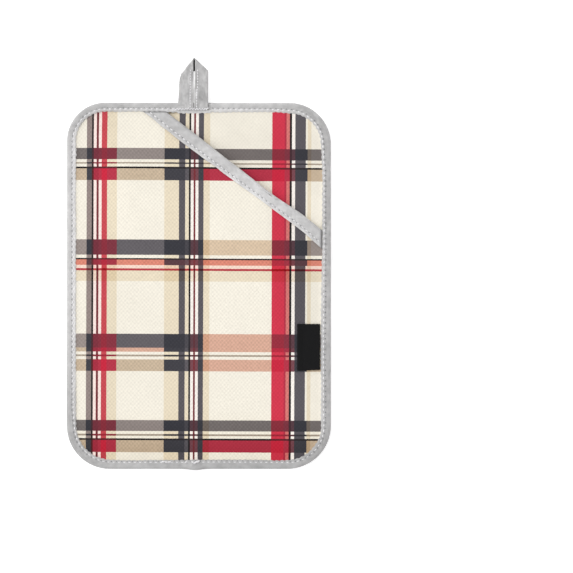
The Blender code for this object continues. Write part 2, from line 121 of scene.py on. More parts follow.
def pocket_bottom(x, y):
    """The height of the pocket panel's underside."""
    behind = np.maximum(behind_mouth(x, y), 0)
    tape_room = TAPE_ROOM * (1 - smooth((behind - 12) / 16))
    open_share = 1 - smooth((behind - 22) / 93)
    open_share = open_share * smooth((edge_distance(x, y) - LEVEL_RIM) / 38)
    return front_top(x, y) + GAP + tape_room + (POCKET_RISE - tape_room) * open_share


def held_top(x, y):
    """The height of the cloth that the edge binding holds."""
    over = smooth(1 + (behind_mouth(x, y) - POCKET_IN_TAPE + 1) / 8)
    return front_top(x, y) + over * (pocket_bottom(x, y) + PLY - front_top(x, y))


# --- Small tools ---


def wobble(t, period, seed):
    """Smooth noise from -1 to 1 along t."""
    knots = np.random.default_rng(seed).uniform(-1, 1, 512)
    place = np.asarray(t) / period + 200
    cell = np.floor(place).astype(int)
    return knots[cell % 512] + smooth(place - cell) * (knots[(cell + 1) % 512] - knots[cell % 512])


def wobble2(x, y, period, seed):
    """Smooth noise from -1 to 1 over x and y."""
    knots = np.random.default_rng(seed).uniform(-1, 1, (128, 128))
    px, py = np.asarray(x) / period + 60, np.asarray(y) / period + 60
    i, j = np.floor(px).astype(int), np.floor(py).astype(int)
    tx, ty = smooth(px - i), smooth(py - j)
    low = knots[i % 128, j % 128] * (1 - tx) + knots[(i + 1) % 128, j % 128] * tx
    high = knots[i % 128, (j + 1) % 128] * (1 - tx) + knots[(i + 1) % 128, (j + 1) % 128] * tx
    return low * (1 - ty) + high * ty


def hump(t, width):
    """1 where t is 0, falling to 0 over about this width on both sides."""
    return np.exp(-(t / width) ** 2)


def turns(*degrees):
    """The cosine and the sine of each of these angles."""
    return [(math.cos(math.radians(angle)), math.sin(math.radians(angle))) for angle in degrees]


def show(name, data):
    """An object with this data, in the scene."""
    thing = bpy.data.objects.new(name, data)
    bpy.context.scene.collection.objects.link(thing)
    return thing


def add_object(name, points, faces, material, tone=None):
    """A smooth-shaded object from points in the pad's frame. tone lightens or darkens its points, mostly as
    painted light and shade.
    """
    points = (np.array(points, float).reshape(-1, 3) + (0, PAD_Y, 0)) * MM
    data = bpy.data.meshes.new(name)
    data.from_pydata(points.tolist(), [], faces)
    shades = data.attributes.new("tone", "FLOAT", "POINT")
    shades.data.foreach_set("value", np.ones(len(points)) if tone is None else np.asarray(tone).ravel())
    data.validate()
    data.shade_smooth()
    data.materials.append(material)
    thing = show(name, data)
    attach(thing, "root")
    return thing


def thicken(thing, thickness):
    """Give a sheet this thickness, half of it on each side."""
    modifier = thing.modifiers.new("Thickness", "SOLIDIFY")
    modifier.thickness, modifier.offset = thickness * MM, 0


def grid_quads(columns, rows):
    """The four corners of each cell in a grid of points."""
    cell = np.arange(columns * rows).reshape(columns, rows)
    return np.stack([cell[:-1, :-1], cell[1:, :-1], cell[1:, 1:], cell[:-1, 1:]], -1).reshape(-1, 4)


def tube(sections, closed):
    """Points and faces of a skin through an array of sections, which joins up or is capped."""
    count, size = sections.shape[:2]
    faces = []
    for i in range(count if closed else count - 1):
        a, b = i * size, (i + 1) % count * size
        faces += [(a + j, b + j, b + (j + 1) % size, a + (j + 1) % size) for j in range(size)]
    if not closed:
        faces += [tuple(range(size)), tuple(range(count * size - 1, count * size - size - 1, -1))]
    return sections.reshape(-1, 3), faces


def grid_sheet(inside, low, high, step):
    """Points and faces of a closed sheet wherever inside is above 0, from low to high."""
    xs = np.arange(-RIGHT, RIGHT + step, step)
    ys = np.arange(-TOP, TOP + step, step)
    x, y = (a.ravel() for a in np.meshgrid(xs, ys, indexing="ij"))
    kept = inside(x, y) > -0.7 * step
    for _ in range(3):
        depth = inside(x, y)
        nudge = 0.01
        gx = (inside(x + nudge, y) - inside(x - nudge, y)) / (2 * nudge)
        gy = (inside(x, y + nudge) - inside(x, y - nudge)) / (2 * nudge)
        out = np.minimum(depth, 0) * kept / np.maximum(gx * gx + gy * gy, 0.1)
        x, y = x - out * gx, y - out * gy
    quads = grid_quads(len(xs), len(ys))
    quads = quads[kept[quads].all(1)]
    used, quads = np.unique(quads, return_inverse=True)
    quads = quads.reshape(-1, 4)
    x, y, count = x[used], y[used], len(used)
    edges = {(int(q[i]), int(q[(i + 1) % 4])) for q in quads for i in range(4)}
    walls = [(b, a, a + count, b + count) for a, b in edges if (b, a) not in edges]
    points = np.concatenate([np.stack([x, y, low(x, y)], 1), np.stack([x, y, high(x, y)], 1)])
    return points, (quads + count).tolist() + quads[:, ::-1].tolist() + walls


def rim(step, inset):
    """Stations round the outline, a step apart on the line this far in, with their ways out."""
    corners = [(side_x * (RIGHT - radius), side_y * (TOP - radius), radius)
               for side_x, side_y, radius in zip((1, -1, -1, 1), (1, 1, -1, -1), CORNER_RADII)]
    line, turn, place = [0.0], [0.0], [corners[0]]
    for quarter, (cx, cy, radius) in enumerate(corners):
        for degree in range(1, 91):
            line.append(line[-1] + (radius - inset) * math.radians(1))
            turn.append(math.radians(90 * quarter + degree))
            place.append((cx, cy, radius))
        following = corners[(quarter + 1) % 4]
        nx, ny, wider = math.cos(turn[-1]), math.sin(turn[-1]), following[2] - radius
        line.append(line[-1] + math.hypot(following[0] - cx + wider * nx, following[1] - cy + wider * ny))
        turn.append(turn[-1])
        place.append(following)
    count = round(line[-1] / step)
    s = np.arange(count) * line[-1] / count
    angle = np.interp(s, line, turn)
    cx, cy, radius = (np.interp(s, line, [p[k] for p in place]) for k in range(3))
    nx, ny = np.cos(angle), np.sin(angle)
    return s, cx + radius * nx, cy + radius * ny, nx, ny


def stitches(name, points, along, length, width, material, seed, facing=1):
    """Short threads at these points, each sunk at both ends. They lie on an underside if facing is -1."""
    random = np.random.default_rng(seed)
    points, along = (np.asarray(a, float).reshape(-1, 3) for a in (points, along))
    along = along / np.linalg.norm(along, axis=1, keepdims=True)
    side = np.cross((0, 0, facing), along)
    side /= np.linalg.norm(side, axis=1, keepdims=True)
    lean = random.normal(0, 0.06, (len(points), 1))
    along, side = along + lean * side, side - lean * along
    up = np.cross(along, side)
    size = random.uniform(0.82, 1.12, (len(points), 1))
    rings, sides = (-1, -0.86, -0.5, 0, 0.5, 0.86, 1), 6
    verts, faces = [], []
    for ring in rings:
        girth = width / 2 * (1 - ring * ring * 0.75)
        rise = width * (0.25 - 0.75 * ring ** 4)
        for k in range(sides):
            turn = 2 * math.pi * k / sides
            verts.append(points + along * (ring * size * length / 2) + side * (girth * math.cos(turn))
                         + up * (girth * math.sin(turn) + rise))
    verts = np.stack(verts, 1)
    each = verts.shape[1]
    for first in range(0, each * len(points), each):
        for ring in range(first, first + each - sides, sides):
            for k in range(sides):
                a, b = ring + k, ring + (k + 1) % sides
                faces.append((a, b, b + sides, a + sides))
        faces.append(tuple(range(first + sides - 1, first - 1, -1)))
        faces.append(tuple(range(first + each - sides, first + each)))
    return add_object(name, verts, faces, material)


# --- Materials ---


def linear(code):
    """A colour as linear red, green and blue from its usual code."""
    parts = [int(code[i:i + 2], 16) / 255 for i in (0, 2, 4)]
    return [p / 12.92 if p <= 0.04045 else ((p + 0.055) / 1.055) ** 2.4 for p in parts] + [1]


class Nodes:
    """A few short ways to add nodes to a material or to the world."""

    def __init__(self, owner, shader, place, **settings):
        owner.use_nodes = True
        self.owner, self.tree = owner, owner.node_tree
        self.inputs = self.tree.nodes[shader].inputs
        self.place = self.add("ShaderNodeTexCoord").outputs[place]
        for name, value in settings.items():
            self.feed(self.inputs[name.replace("_", " ")], value)

    def add(self, kind, **settings):
        node = self.tree.nodes.new(kind)
        for key, value in settings.items():
            setattr(node, key, value)
        return node

    def feed(self, socket, value):
        if isinstance(value, bpy.types.NodeSocket):
            self.tree.links.new(value, socket)
        else:
            socket.default_value = value

    def math(self, operation, a, b=0.0):
        node = self.add("ShaderNodeMath", operation=operation)
        self.feed(node.inputs[0], a)
        self.feed(node.inputs[1], b)
        return node.outputs[0]

    def times(self, value, *factors):
        for factor in factors:
            value = self.math("MULTIPLY", value, factor)
        return value

    def plus(self, value, *others):
        for other in others:
            value = self.math("ADD", value, other)
        return value

    def split(self, vector):
        node = self.add("ShaderNodeSeparateXYZ")
        self.feed(node.inputs[0], vector)
        return node.outputs

    def span(self, value, low, high, to_low=0.0, to_high=1.0):
        node = self.add("ShaderNodeMapRange")
        for socket, number in zip(node.inputs, (value, low, high, to_low, to_high)):
            self.feed(socket, number)
        return node.outputs[0]

    def count(self, value, starts):
        """How many of these starts the value has passed, as a share of them all."""
        passed = [self.math("GREATER_THAN", value, start) for start in starts]
        return self.math("DIVIDE", self.plus(*passed, 1), len(starts) + 1)

    def chart(self, share, colours):
        """Steps of colour, one for each count up to the last, without repeats."""
        node = self.add("ShaderNodeValToRGB")
        node.color_ramp.interpolation = "CONSTANT"
        elements = node.color_ramp.elements
        elements.remove(elements[1])
        elements[0].position, elements[0].color = 0.0, colours[0]
        for number, (colour, before) in enumerate(zip(colours[1:], colours), start=1):
            if colour != before:
                elements.new((number + 0.5) / len(colours)).color = colour
        self.feed(node.inputs[0], share)
        return node.outputs[0]

    def mix(self, share, a, b, blend="MIX"):
        node = self.add("ShaderNodeMix", data_type="RGBA", blend_type=blend)
        self.feed(node.inputs["Factor"], share)
        self.feed(node.inputs[6], a)
        self.feed(node.inputs[7], b)
        return node.outputs[2]

    def noise(self, scale, detail=2.0, stretch=(1, 1, 1)):
        mapping, node = self.add("ShaderNodeMapping"), self.add("ShaderNodeTexNoise")
        self.feed(mapping.inputs["Vector"], self.place)
        self.feed(mapping.inputs["Scale"], stretch)
        self.feed(node.inputs["Vector"], mapping.outputs[0])
        self.feed(node.inputs["Scale"], scale)
        self.feed(node.inputs["Detail"], detail)
        return node.outputs["Fac"]

    def waves(self, pitch, turn):
        """Ribs this far apart, from -1 to 1, turned by this many degrees."""
        x, y, _ = self.split(self.place)
        [(cos, sin)] = turns(turn)
        across = self.plus(self.times(x, cos), self.times(y, sin))
        return self.math("SINE", self.times(across, 2 * math.pi / (pitch * MM)))

    def weave(self, pitch, turn=0):
        """Ribs that cross at right angles."""
        return self.times(self.waves(pitch, turn), self.waves(pitch, turn + 90))

    def bump(self, height, distance):
        node = self.add("ShaderNodeBump")
        self.feed(node.inputs["Height"], height)
        self.feed(node.inputs["Strength"], 1)
        self.feed(node.inputs["Distance"], distance * MM)
        self.feed(self.inputs["Normal"], node.outputs[0])

    def colour(self, value):
        self.feed(self.inputs["Base Color"], value)

    def shaded(self, code, shade):
        """A colour in this shade."""
        self.colour(self.mix(1.0, linear(code), shade, "MULTIPLY"))

    def toned(self, code, shade):
        """A colour in this shade, lighter or darker where the mesh's tone, mostly painted light and shade,
        says so.
        """
        tone = self.add("ShaderNodeAttribute", attribute_name="tone").outputs["Fac"]
        self.shaded(code, self.times(shade, tone))


def cloth(name, roughness, specular, sheen=0.0, **settings):
    """The nodes of a new material."""
    return Nodes(bpy.data.materials.new(name), "Principled BSDF", "Object", Roughness=roughness,
                 Specular_IOR_Level=specular, Sheen_Weight=sheen, Sheen_Roughness=0.4, **settings)


# The plaid's inks
INKS = dict(
    cream="F6F0E2", white="FCF5EE", rosy="FDE8E1", pink="F8DCCC", tan="EBDEC5", sand="CAB69D", buff="DAC3A8",
    salmon="D9AC97", coral="DD8976", rose="D97A76", scarlet="D5394F", cherry="CB4C55", red="CC2841",
    crimson="B8364A", berry="A93043", wine="7A343A", maroon="5A2226", brick="B8434A", plum="7A4A52",
    taupe="958783", pearl="9B908B", ash="938985", grey="77706E", slate="656165", straw="ADA090",
    charcoal="5E5A5F", navy="434248", night="33343B", black="282425",
)
# The upright stripes: where each starts, from the pad's middle, its ink on the ground, and the ink with which
# it covers a broad row. Where there is none, the row shows through it
STRIPES = (
    (-90, "cream", None), (-77, "taupe", "navy"), (-73.5, "black", "maroon"), (-72.25, "rosy", "berry"),
    (-70.25, "wine", "berry"), (-68.75, "rosy", "crimson"), (-66.75, "cherry", "red"),
    (-63, "tan", "crimson"), (-56.25, "cream", None), (-23.75, "tan", "navy"),
    (-13.75, "charcoal", "navy"), (-9.5, "tan", "charcoal"),
    (-7, "black", "black"), (-5.75, "white", "plum"), (-3.75, "wine", "wine"), (-2.5, "white", "plum"),
    (-0.5, "charcoal", "navy"), (3, "tan", None), (7.25, "cream", None), (49.75, "scarlet", "red"),
    (58.25, "crimson", "crimson"), (59.5, "rose", "crimson"), (61.75, "black", "maroon"),
    (63.25, "white", "plum"), (65.5, "charcoal", "navy"), (72.75, "cream", "navy"), (74, "tan", None),
    (76.5, "cream", None),
)
# The kinds of row: their ink near the two sides, left of the middle bar and right of it, and the veil that
# they lay on a covering stripe, with its share. Where there is no veil, no stripe covers the row
ROWS = {
    "ground": ("cream", "cream", "cream", None, 0),
    "grey": ("grey", "ash", "grey", "night", 0.6),
    "warm": ("sand", "sand", "crimson", "night", 0),
    "slate": ("pearl", "slate", "buff", "night", 0.6),
    "coral": ("coral", "coral", "coral", "wine", 0.35),
    "rose slate": ("pearl", "slate", "salmon", "night", 0.5),
    "rose strip": ("sand", "salmon", "salmon", "night", 0.2),
    "rose": ("sand", "sand", "salmon", "night", 0),
    "hair": ("straw", "straw", "straw", "black", 0.4),
    "line": ("black", "black", "black", "black", 0.8),
    "pale": ("pink", "pink", "pink", None, 0),
    "red line": ("brick", "brick", "brick", None, 0),
    "tan": ("tan", "tan", "tan", None, 0),
}
# Where each row starts, from the top down, and its kind
BANDS = (
    (125, "ground"), (94, "grey"), (86.25, "ground"), (84.25, "hair"), (83.25, "ground"), (81.25, "line"),
    (80, "warm"), (72, "ground"), (31.5, "slate"), (21, "ground"), (18.75, "line"), (17.75, "coral"),
    (14, "pale"), (11.75, "red line"), (10.25, "tan"), (3, "ground"), (-33, "rose slate"),
    (-42.5, "rose strip"), (-45.25, "ground"), (-47.25, "hair"), (-48.5, "ground"), (-50.5, "rose"),
    (-58.5, "ground"), (-92, "grey"), (-99.5, "ground"), (-101.5, "hair"), (-102.75, "ground"),
    (-104.5, "line"), (-105.75, "warm"), (-114, "ground"),
)
# Where a row changes its ink: under the red group on the left, the middle bar and the red bar
ROW_CHANGES = (-60, -11, 54)
# The print's turn, how much lower it lies at the upper right, and how far its edges fray
PRINT_TURN, PRINT_SAG, FRAY = 0.0042, 0.3, 0.125
# Painted shade and light across the print, darker to the left and the top and lighter to the right: the axis,
# the stretch of it, and the shade at its two ends
PRINT_PAINTED_SHADE = (("x", -85, -50, 0.92, 0.98), ("x", 50, 85, 1.0, 1.075), ("y", 55, 110, 1.0, 0.935))
# How much deeper the lowest rows are printed, and how far from the mouth the painted light on the front panel
# reaches
LOWER_DEPTH, MOUTH_PAINTED_LIGHT_REACH = 0.28, 18
# The cloth's woven dots stand in staggered rows, this far from one to the next but one
DOTS_ACROSS, DOTS_ALONG = 2.61, 2.88
# The dots' contrast: from one level of the ink's green to another, and what it is at the two
DOT_CONTRAST = ((0.03, 0.13, 0.045, 0.125), (0.5, 0.8, 0.11, 0.062))


def inked(names):
    """The colours of these inks, and the ground's where there is none."""
    return [linear(INKS[name or "cream"]) for name in names]


def tints(names):
    """The colours of these inks as shares of the ground's."""
    [ground] = inked(["cream"])
    return [[part / full for part, full in zip(colour, ground)] for colour in inked(names)]


def levels(values):
    """These numbers as shades of grey."""
    return [[float(value)] * 3 + [1] for value in values]


def plaid(name, depth, mouth_painted_light):
    """Printed plaid cloth with dots this deep, and with this much painted light beside the mouth."""
    nodes = cloth(name, roughness=0.8, specular=0.12)
    times, plus, span = nodes.times, nodes.plus, nodes.span
    x, y = (times(place, 1 / MM) for place in nodes.split(nodes.place)[:2])
    y = plus(y, -PAD_Y)
    y = plus(y, times(span(x, -30, 20), span(y, -15, 40, 0, PRINT_SAG)))
    fray = span(nodes.noise(900), 0, 1, -FRAY, FRAY)
    along_x = plus(x, times(y, -PRINT_TURN), fray)
    along_y = plus(y, times(x, PRINT_TURN), fray)
    stripe = nodes.count(along_x, [start for start, *_ in STRIPES[1:]])
    band = nodes.count(times(along_y, -1), [-top for top, _ in BANDS[1:]])
    _, inks, covering = zip(*STRIPES)
    sides, left, right, veils, shares = zip(*(ROWS[kind] for _, kind in BANDS))
    tint = nodes.chart(band, tints(sides))
    for change, row_inks in zip(ROW_CHANGES, (left, right, sides)):
        later = nodes.chart(band, tints(row_inks))
        tint = nodes.mix(nodes.math("GREATER_THAN", along_x, change), tint, later)
    through = nodes.mix(1.0, nodes.chart(stripe, inked(inks)), tint, "MULTIPLY")
    covered = nodes.mix(nodes.chart(band, levels(shares)), nodes.chart(stripe, inked(covering)),
                        nodes.chart(band, inked(veils)))
    covers = times(nodes.chart(stripe, levels(map(bool, covering))),
                   nodes.chart(band, levels(map(bool, veils))))
    colour = nodes.mix(covers, through, covered)
    deeper = span(y, -112, -84, LOWER_DEPTH, 0)
    colour = nodes.mix(deeper, colour, nodes.mix(1.0, colour, colour, "MULTIPLY"))

    dots = times(nodes.waves(DOTS_ACROSS, 0), nodes.waves(DOTS_ALONG, 90))
    threads = nodes.weave(0.45)
    grain = plus(dots, times(threads, 0.3), span(nodes.noise(650, 1), 0.3, 0.7, -0.5, 0.5))
    _, green, _ = nodes.split(colour)
    contrast = nodes.math("MINIMUM", *(span(green, low, high, first * depth, last * depth)
                                       for low, high, first, last in DOT_CONTRAST))
    contrast = times(contrast, span(x, 60, 72, 1, 0.4))
    shade = plus(times(grain, contrast), span(nodes.noise(60), 0.3, 0.7, 0.96, 0.99))
    # Painted shade and light across the print
    for axis, start, end, first, last in PRINT_PAINTED_SHADE:
        shade = times(shade, span(x if axis == "x" else y, start, end, first, last))
    # Painted light on the front panel beside the pocket's mouth
    ahead = plus(times(plus(x, -MOUTH_MIDDLE[0]), MOUTH_SIN), times(plus(y, -MOUTH_MIDDLE[1]), MOUTH_COS))
    shade = times(shade, span(ahead, 0, MOUTH_PAINTED_LIGHT_REACH, mouth_painted_light, 1))
    colour = nodes.mix(1.0, colour, shade, "MULTIPLY")
    flecks = times(span(dots, 0.2, 1.0), span(nodes.noise(700), 0.35, 0.65), 0.011 * depth)
    nodes.colour(nodes.mix(flecks, colour, linear("F0EAE4")))
    nodes.bump(plus(dots, times(threads, 0.6)), 0.06)
    return nodes.owner


def tape(name, code, streak=(1, 1, 1)):
    """Plain woven tape with a soft sheen, its cloudy shades streaked by this much along each axis."""
    nodes = cloth(name, roughness=0.5, specular=0.4, sheen=0.15)
    threads = nodes.weave(0.4, 12)
    cloudy = nodes.span(nodes.noise(240, 3, streak), 0.3, 0.7, 0.88, 1.09)
    nodes.toned(code, nodes.times(cloudy, nodes.span(threads, -1, 1, 0.97, 1.02)))
    nodes.bump(nodes.plus(threads, nodes.times(nodes.noise(500), 1.5)), 0.05)
    return nodes.owner


def satin(name, code):
    """Silver satin with fine ribs and faint creases, their ridges painted lighter and their hollows painted
    darker.
    """
    nodes = cloth(name, roughness=0.32, specular=0.6, sheen=0.1, Metallic=0.35)
    creases = nodes.noise(110, 4, (1.6, 0.5, 1))
    nodes.toned(code, nodes.span(creases, 0.3, 0.7, 0.90, 1.06))
    nodes.bump(nodes.plus(nodes.times(nodes.waves(0.5, 20), 0.15), creases), 0.25)
    return nodes.owner


def thread(name, code, roughness=0.45):
    """Twisted thread, or with a rough finish the shaded hole beside one."""
    nodes = cloth(name, roughness=roughness, specular=0.4, sheen=0.1)
    twist = nodes.waves(0.35, 35)
    nodes.shaded(code, nodes.span(twist, -1, 1, 0.93, 1.0))
    nodes.bump(twist, 0.04)
    return nodes.owner


def label_cloth(name, code):
    """Plain, closely woven cloth."""
    nodes = cloth(name, roughness=0.7, specular=0.1)
    ribs = nodes.weave(0.5)
    nodes.shaded(code, nodes.span(ribs, -1, 1, 0.8, 1.2))
    nodes.bump(ribs, 0.05)
    return nodes.owner


# --- The panels ---


CLOTH_DEPTH = 0.7


def in_binding(x, y):
    """How far inside the fold of the edge binding each point is."""
    return edge_distance(x, y) - LAYER_INSET


def panel_ripple(x, y):
    """Faint unevenness of a panel, and its puckers beside the edge's stitching."""
    near = hump(edge_distance(x, y) - 7, 5)
    return 0.12 * wobble2(x, y, 22, 3) + 0.10 * near * wobble2(x, y, 3.2, 5)


def add_cloth(name, inside, top, step, material):
    """A panel's cloth, from what is inside it and the height of its top."""
    return add_object(name, *grid_sheet(inside, lambda x, y: top(x, y) - CLOTH_DEPTH, top, step), material)


def make_front_panel(material):
    def top(x, y):
        return front_top(x, y) + np.minimum(panel_ripple(x, y), 0.1)

    panel = add_cloth("front_cloth", in_binding, top, 2, material)
    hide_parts("front_panel")


def make_pocket_panel(material):
    def top(x, y):
        return pocket_bottom(x, y) + 0.9 + panel_ripple(x, y)

    def inside(x, y):
        return np.minimum(in_binding(x, y), behind_mouth(x, y) - POCKET_IN_TAPE)

    panel = add_cloth("pocket_cloth", inside, top, 1.8, material)
    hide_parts("pocket_panel")


# --- The edge binding ---

STITCH_PITCH = 3.6
ROLL_WIDTH, ROLL_DEPTH = 4.0, 2.3
# How the tape was sewn on: the way round from the right side's upper end, how far the edge stands
# out, how far in its stitches, their needle holes and the tape's cut edge run, and its painted light and
# shade
TAPE_ROWS = np.array((
    (0, 0.3, 5.1, 4.6, 6.6, 1.04), (20, 0.25, 5.4, 4.5, 6.8, 1.01), (37, 0.3, 5.0, 4.3, 6.9, 0.94),
    (50, 0.35, 4.3, 3.6, 5.9, 1.01), (95, 0.35, 4.2, 3.4, 6.3, 1.08), (145, 0.4, 4.1, 3.3, 5.9, 0.95),
    (182, 0.45, 4.1, 3.3, 5.7, 0.81), (205, 0.45, 4.0, 3.0, 5.9, 0.96), (325, 0.5, 3.9, 2.9, 5.8, 1.02),
    (360, 0.65, 3.9, 2.8, 5.8, 0.88), (380, 0.65, 4.1, 2.8, 6.0, 0.76), (393, 0.5, 4.9, 3.9, 6.2, 0.75),
    (412, 0.4, 5.0, 4.0, 6.4, 0.80), (425, 0.35, 4.5, 4.8, 6.3, 1.0), (440, 0.35, 4.2, 4.9, 5.6, 0.99),
    (470, 0.35, 4.2, 5.1, 5.6, 0.94), (500, 0.35, 4.4, 5.3, 5.9, 0.91), (545, 0.35, 4.2, 5.1, 5.6, 0.91),
    (562, 0.35, 4.0, 4.2, 5.9, 0.96), (578, 0.35, 4.1, 3.8, 6.2, 1.0), (605, 0.35, 4.6, 3.4, 6.5, 1.03),
    (640, 0.35, 4.8, 3.9, 6.6, 1.03), (680, 0.35, 4.4, 3.4, 6.3, 1.10), (720, 0.35, 4.2, 3.3, 5.6, 1.02),
    (768, 0.35, 4.2, 3.4, 5.6, 1.08),
))
# Creases of the tape, painted only as shade and light: the way round, how far in, half their length, and
# their painted shade
TAPE_CREASES = (
    (154, 2.2, 5.0, -0.14), (143, 1.2, 3.0, 0.05), (128, 2.5, 3.0, -0.05), (62, 1.5, 4.0, 0.05),
    (30, 2.0, 6.0, -0.06), (10, 2.5, 5.0, -0.05), (452, 1.5, 5.0, 0.04), (476, 2.5, 2.5, -0.10),
    (500, 2.0, 3.0, 0.05), (530, 1.5, 5.0, -0.05), (565, 2.5, 3.0, 0.05), (583, 2.0, 3.0, -0.08),
    (660, 2.0, 6.0, 0.05), (735, 1.5, 5.0, -0.04), (420, 2.5, 4.0, -0.07),
)
# The lap's uneven stitches: place across, how far in, and turn in degrees
LAP_STITCHES = (
    (-24.4, 4.7, 10), (-22.3, 4.4, -8), (-20.2, 4.5, 6), (-8.6, 4.6, 30), (-4.1, 4.3, -25),
    (-2.8, 3.9, 30), (-1.4, 4.6, -15), (-0.2, 5.0, 20),
)
# How far in the rows of points run: over the front's roll, and along the back
FRONT_ROLL = (3.5, 3.1, 2.7, 2.3, 1.9, 1.5, 1.15, 0.85, 0.6, 0.4, 0.22, 0.1, 0.03)
BACK_PLY, BACK_SEAM = (3.6, 4.6, 5.2, 5.6, 6.0, 6.6), 5.6


def binding_lap(x, y):
    """1 in the middle of the lap at the bottom, falling to 0 on both sides."""
    return hump(x - LAP_X, 5.2) * (y < 0)


def make_edge_binding(material, white, dark):
    s, x, y, nx, ny = rim(0.6, 4.2)
    total = s[-1] + s[1]
    count = round(total / STITCH_PITCH)
    pitch = total / count
    way, *columns = TAPE_ROWS.T
    # Its last column is the painted light and shade along the tape
    out, seam, holes_in, lip, painted_light = (np.interp(s, way, column, period=total) for column in columns)
    seam, holes_in, lip = seam + out, holes_in + out, lip + out
    corner = smooth(4 * nx * nx * ny * ny)
    puckers = np.cos(2 * math.pi * s / pitch)
    lip = lip + 0.15 * wobble(s, 14, 1) + 0.12 * wobble(s, 5, 2) - 0.22 * puckers
    # Painted light and shade on the lip, the seam's valley and the outer edge, each way round: lip and valley
    # lighter to the left and the top, the edge lighter to the right and darker at the bottom
    lip_painted_light = 1.16 + 0.20 * nx * nx - 0.37 * nx + 0.2 * ny
    valley_painted_shade = 1 - 0.13 * nx + 0.04 * ny
    edge = 0.12 * nx * (nx > 0) + 0.21 * ny * (ny < 0)
    # Beside the loop the lip runs wider and is painted lighter
    by_loop = (y > 0) * smooth((12 - np.abs(x - LOOP_X)) / 2)
    lip, lip_painted_light = lip + 0.6 * by_loop, lip_painted_light + 0.14 * by_loop
    lap = binding_lap(x, y)
    rows, tones = [], []

    def level(inward):
        held = np.maximum(inward - out, LAYER_INSET)
        return held_top(x - held * nx, y - held * ny) + GAP

    def folds(inward, seed):
        return wobble(s + 1.2 * inward, 4.5, seed) + 0.6 * wobble(s - 0.9 * inward, 2.3, seed + 1)

    def put(shift, height, tone):
        rows.append(np.stack([x - shift * nx, y - shift * ny, height + 0 * s], -1))
        tones.append(tone * painted_light)

    def row(inward, height, bulge=0.0, tone=1.0):
        put(inward - out * (inward < LAYER_INSET) - bulge, height, tone)

    def top_height(inward):
        """The front ply: a round roll, down to the stitching and on to the lip."""
        roll = ROLL_DEPTH * (1 - np.sqrt(1 - np.clip(1 - inward / ROLL_WIDTH, 0, 1) ** 2))
        near_seam = hump(inward - seam, 0.8)
        past = np.clip((inward - seam) / (lip - seam), 0, 1)
        drop = roll + (0.30 - 0.14 * puckers) * near_seam + 1.05 * past ** 2
        slanting = 0.35 * lap * hump(x - LAP_X + 4.6 - 0.8 * inward, 0.9)
        return level(inward) + PLY - drop + slanting + LAP_UP * lap

    def top_row(inward, ruffle, tone):
        height = top_height(inward) + ruffle * (0.12 + 0.22 * corner) * folds(inward, 7)
        # Painted light and shade on the ruffles, painted shade at the right-hand corners, and the creases'
        # painted shade and light
        shade = 0.03 * folds(inward, 15) * ruffle - 0.05 * corner * (nx > 0)
        for way, depth, half, painted_crease_shade in TAPE_CREASES:
            shade = shade + painted_crease_shade * hump(s - way, half) * hump(inward - depth, 1.5)
        put(inward - out - lap * LAP_OUT * smooth(1 - inward / lip), height, tone + shade)

    # The front ply, from its cut edge to the pad's edge
    row(lip - out, level(lip) - 0.28, tone=lip_painted_light)
    row(lip - out + 0.1, level(lip) - 0.18, tone=lip_painted_light)
    for share in (1.0, 0.85, 0.65, 0.45, 0.3, 0.15):
        # Painted light on the lip on the left side, painted shade by the seam on the right side
        lip_side_painted_light = -0.08 * nx * (nx < 0) * smooth((share - 0.5) / 0.4)
        seam_side_painted_shade = -0.07 * nx * (nx > 0) * smooth((0.6 - share) / 0.4)
        top_row(seam + share * (lip - seam), 0.3 * (1 - share), lip_painted_light + lip_side_painted_light + seam_side_painted_shade)
    top_row(seam, 0.3, (lip_painted_light + valley_painted_shade) / 2)
    top_row(seam - 0.4, 0.4, valley_painted_shade)
    # Over the roll: painted shade in the seam's valley, and painted light and shade at the outer edge
    for inward in FRONT_ROLL:
        near_valley, near_edge = smooth((inward - 2.4) / 0.9), max(0, 1 - inward / 1.2)
        top_row(inward + 0 * s, 1.0, 1 + (valley_painted_shade - 1) * near_valley + edge * near_edge)
    row(0, level(0 * s) + PLY - ROLL_DEPTH + LAP_UP * lap, lap * LAP_OUT, tone=1 + edge)
    # The fold, and the back ply to its cut edge
    for cos, sin in turns(0, 30, 60, 90):
        bulge = lap * LAP_OUT + (0.05 + 0.1 * corner) * folds(0, 7) * cos
        row(FOLD_RADIUS * (1 - cos), BINDING_LOW + 0.9 * (FOLD_RADIUS * (1 - sin)), bulge)
    for inward in BACK_PLY:
        dent = 0.25 * hump(inward - BACK_SEAM, 0.5)
        row(inward, BINDING_LOW + dent + (0.05 + 0.06 * corner) * folds(0, 11))
    back = BINDING_BACK + 0.2 * wobble(s, 9, 13)
    row(back, BINDING_LOW + 0.15)
    row(back, BINDING_LOW + 0.7)
    # The inner side of the fold
    inner = FOLD_RADIUS - 0.8
    for cos, sin in turns(90, 45, 0):
        row(FOLD_RADIUS - inner * cos, BINDING_LOW + 0.8 + inner * (1 - sin), -out)
    for cos, sin in turns(0, 45, 90):
        row(FOLD_RADIUS - inner * cos, level(LAYER_INSET + out) - inner * (1 - sin) + 0.05, -out)
    binding = add_object("edge_tape", *tube(np.stack(rows, 1), closed=True), material, np.stack(tones, 1))

    spots = np.arange(count) * pitch
    step = s[1] - s[0]
    under_holes = np.round(spots / step).astype(int) % len(s)
    between = (under_holes + round(pitch / 2 / step)) % len(s)
    run = np.stack([-ny, nx, 0 * x], -1)
    under_loop = (np.abs(x - LOOP_X) < 11.5) & (y > 0)

    def sewn(name, index, inward, sink, length, width, look, seed):
        index = index[~under_loop[index]]
        shift = inward - out
        spot = np.stack([x - shift * nx, y - shift * ny, top_height(inward) - sink], -1)[index]
        return stitches(name, spot, run[index], length, width[index, None], look, seed)

